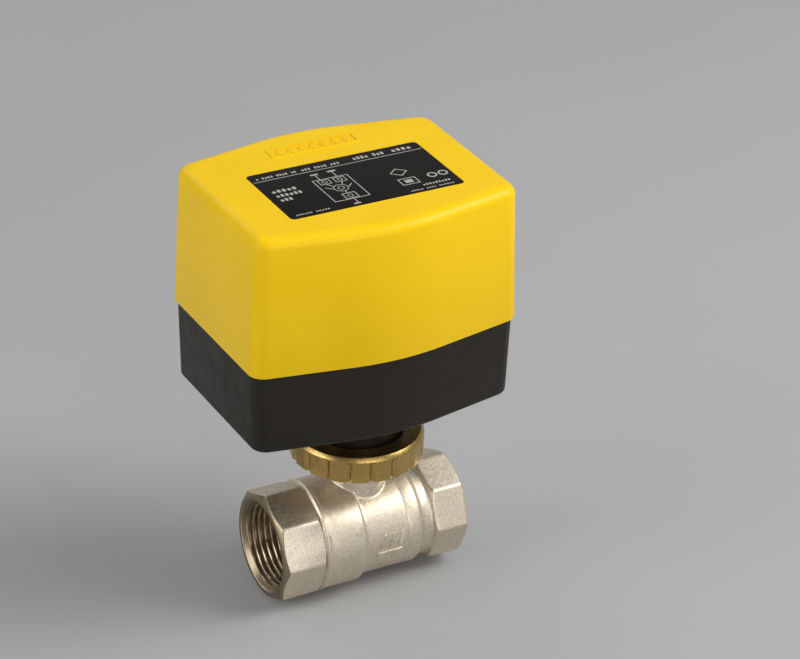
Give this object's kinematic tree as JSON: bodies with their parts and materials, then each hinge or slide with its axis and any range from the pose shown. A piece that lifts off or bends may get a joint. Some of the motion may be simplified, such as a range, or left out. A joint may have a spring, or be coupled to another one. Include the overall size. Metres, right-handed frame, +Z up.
{
  "type": "zone valve",
  "caption": "Motorised ball zone valve: threaded nickel-plated ball valve with a brass union nut carrying a geared actuator in a yellow and black case.",
  "frame": {"origin": "where the pipe axis crosses the stem axis, at the centre of the ball", "axes": "+X along the pipe, from the end connector to the plain end of the body; +Z up the stem towards the actuator"},
  "size_m": [0.0837, 0.0662, 0.13],
  "materials": {
    "nickel_plate": "satin nickel plate on cast brass",
    "brass": "machined and lightly tumbled brass",
    "chrome_plate": "polished chrome plate",
    "steel": "zinc plated",
    "ptfe": "white, waxy",
    "rubber": "matte",
    "yellow_plastic": "satin moulded plastic",
    "black_plastic": "satin moulded plastic, fine texture",
    "label": "printed foil, matte",
    "acetal": "natural acetal",
    "circuit_board": "solder mask",
    "terminal": "moulded"
  },
  "bodies": {
    "housing": {"valve_body": "nickel_plate", "end_connector": "nickel_plate", "body_seal": "rubber", "seat_near": "ptfe", "seat_far": "ptfe", "thrust_washer": "ptfe", "gland_nut": "brass", "retaining_clip": "steel", "base_housing": "black_plastic", "cover": "yellow_plastic", "cover_seal": "rubber", "rating_label": "label", "cover_screw_1": "steel", "cover_screw_2": "steel", "cover_screw_3": "steel", "cover_screw_4": "steel", "cable_grommet": "rubber", "output_bush": "brass", "second_axle": "steel", "first_axle": "steel", "lower_plate": "steel", "upper_plate": "steel", "frame_pillar_1": "steel", "frame_pillar_2": "steel", "frame_pillar_3": "steel", "motor_can": "steel", "motor_flange": "steel", "motor_screw_1": "steel", "motor_screw_2": "steel", "open_switch": "black_plastic", "closed_switch": "black_plastic", "circuit_board": "circuit_board", "terminal_block": "terminal", "capacitor": "black_plastic"},
    "output": {"output_shaft": "steel", "drive_coupler": "acetal", "switch_cam": "acetal", "output_gear": "acetal", "stem": "chrome_plate", "ball": "chrome_plate", "stem_oring_lower": "rubber", "stem_oring_upper": "rubber"},
    "second_gear": {"second_gear": "acetal"},
    "first_gear": {"first_gear": "acetal"},
    "motor_pinion": {"motor_pinion": "steel"},
    "open_plunger": {"open_plunger": "ptfe"},
    "closed_plunger": {"closed_plunger": "ptfe"},
    "slip_ring": {"slip_ring": "ptfe"},
    "ring_nut": {"ring_nut": "brass"}
  },
  "joints": [
    {"name": "output_turn", "type": "hinge", "parent": "housing", "child": "output", "pos_m": [0, 0, 0], "axis": [0, 0, 1], "range_deg": [0, 90]},
    {"name": "second_gear_spin", "type": "hinge", "parent": "housing", "child": "second_gear", "pos_m": [-0.01819, 0.0105, 0.068], "axis": [0, 0, 1], "range_deg": [-270, 0]},
    {"name": "first_gear_spin", "type": "hinge", "parent": "housing", "child": "first_gear", "pos_m": [-0.021, -0.00766, 0.072], "axis": [0, 0, 1], "range_deg": [0, 675]},
    {"name": "motor_spin", "type": "hinge", "parent": "housing", "child": "motor_pinion", "pos_m": [-0.00477, -0.01629, 0.075], "axis": [0, 0, 1], "range_deg": [-1687.5, 0]},
    {"name": "open_plunger_slide", "type": "slide", "parent": "housing", "child": "open_plunger", "axis": [-1, 0, 0], "range_m": [0, 0.0012]},
    {"name": "closed_plunger_slide", "type": "slide", "parent": "housing", "child": "closed_plunger", "axis": [0, 1, 0], "range_m": [0, 0.0012]},
    {"name": "nut_lift", "type": "slide", "parent": "housing", "child": "slip_ring", "axis": [0, 0, 1], "range_m": [0, 0.002]},
    {"name": "nut_turn", "type": "hinge", "parent": "slip_ring", "child": "ring_nut", "pos_m": [0, 0, 0.029], "axis": [0, 0, 1], "range_deg": [0, 480]}
  ],
  "couplings": [
    {"joint": "second_gear_spin", "follows": "output_turn", "ratio": -3},
    {"joint": "first_gear_spin", "follows": "output_turn", "ratio": 7.5},
    {"joint": "motor_spin", "follows": "output_turn", "ratio": -18.75},
    {"joint": "open_plunger_slide", "follows": "output_turn", "m_per_rad": 0.00076394},
    {"joint": "closed_plunger_slide", "follows": "output_turn", "m_per_rad": 0.00076394},
    {"joint": "nut_lift", "follows": "nut_turn", "m_per_rad": 0.00023873}
  ]
}
